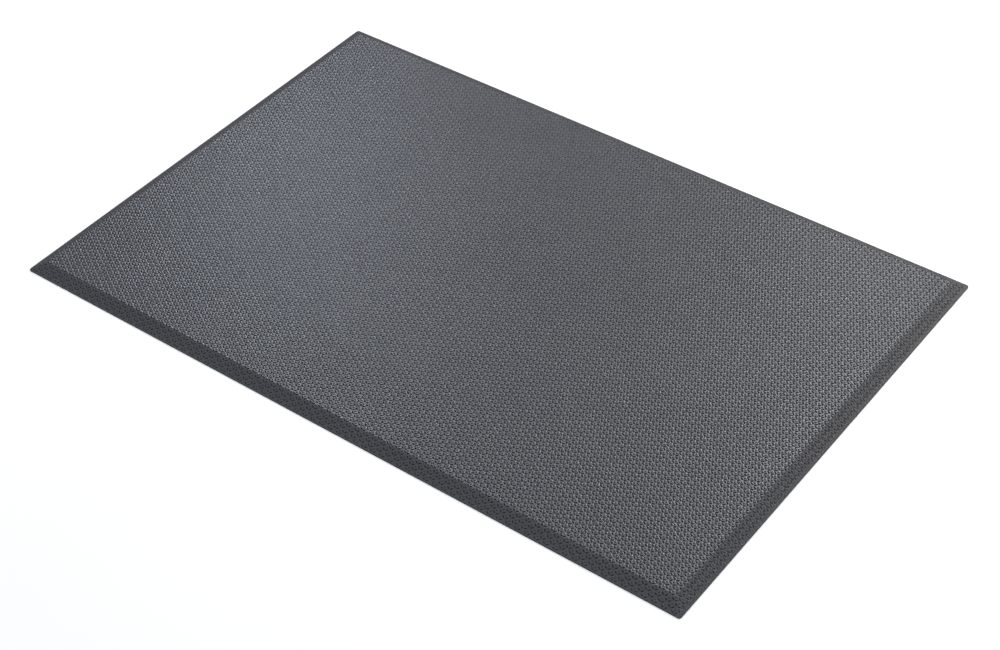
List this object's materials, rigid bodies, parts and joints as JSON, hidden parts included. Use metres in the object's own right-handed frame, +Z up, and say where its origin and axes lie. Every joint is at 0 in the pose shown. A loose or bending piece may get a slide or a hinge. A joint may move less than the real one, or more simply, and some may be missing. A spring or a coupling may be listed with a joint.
{
  "type": "anti fatigue mat",
  "caption": "Rectangular standing mat with a raised hexagonal tread, a foam cushion inside, and sloping edges that thin to a low rim.",
  "frame": {"origin": "centre of the underside, on the floor", "axes": "+Z up; +X along the mat's long side, +Y along its short side"},
  "size_m": [0.9, 0.6, 0.0105],
  "materials": {
    "wear_vinyl": "satin",
    "bonding_film": "satin",
    "cushion_foam": "matte",
    "grip_rubber": "matte"
  },
  "bodies": {
    "root": {"wear_layer": "wear_vinyl", "upper_bond_film": "bonding_film", "foam_core": "cushion_foam", "lower_bond_film": "bonding_film", "grip_backing": "grip_rubber"}
  },
  "joints": []
}
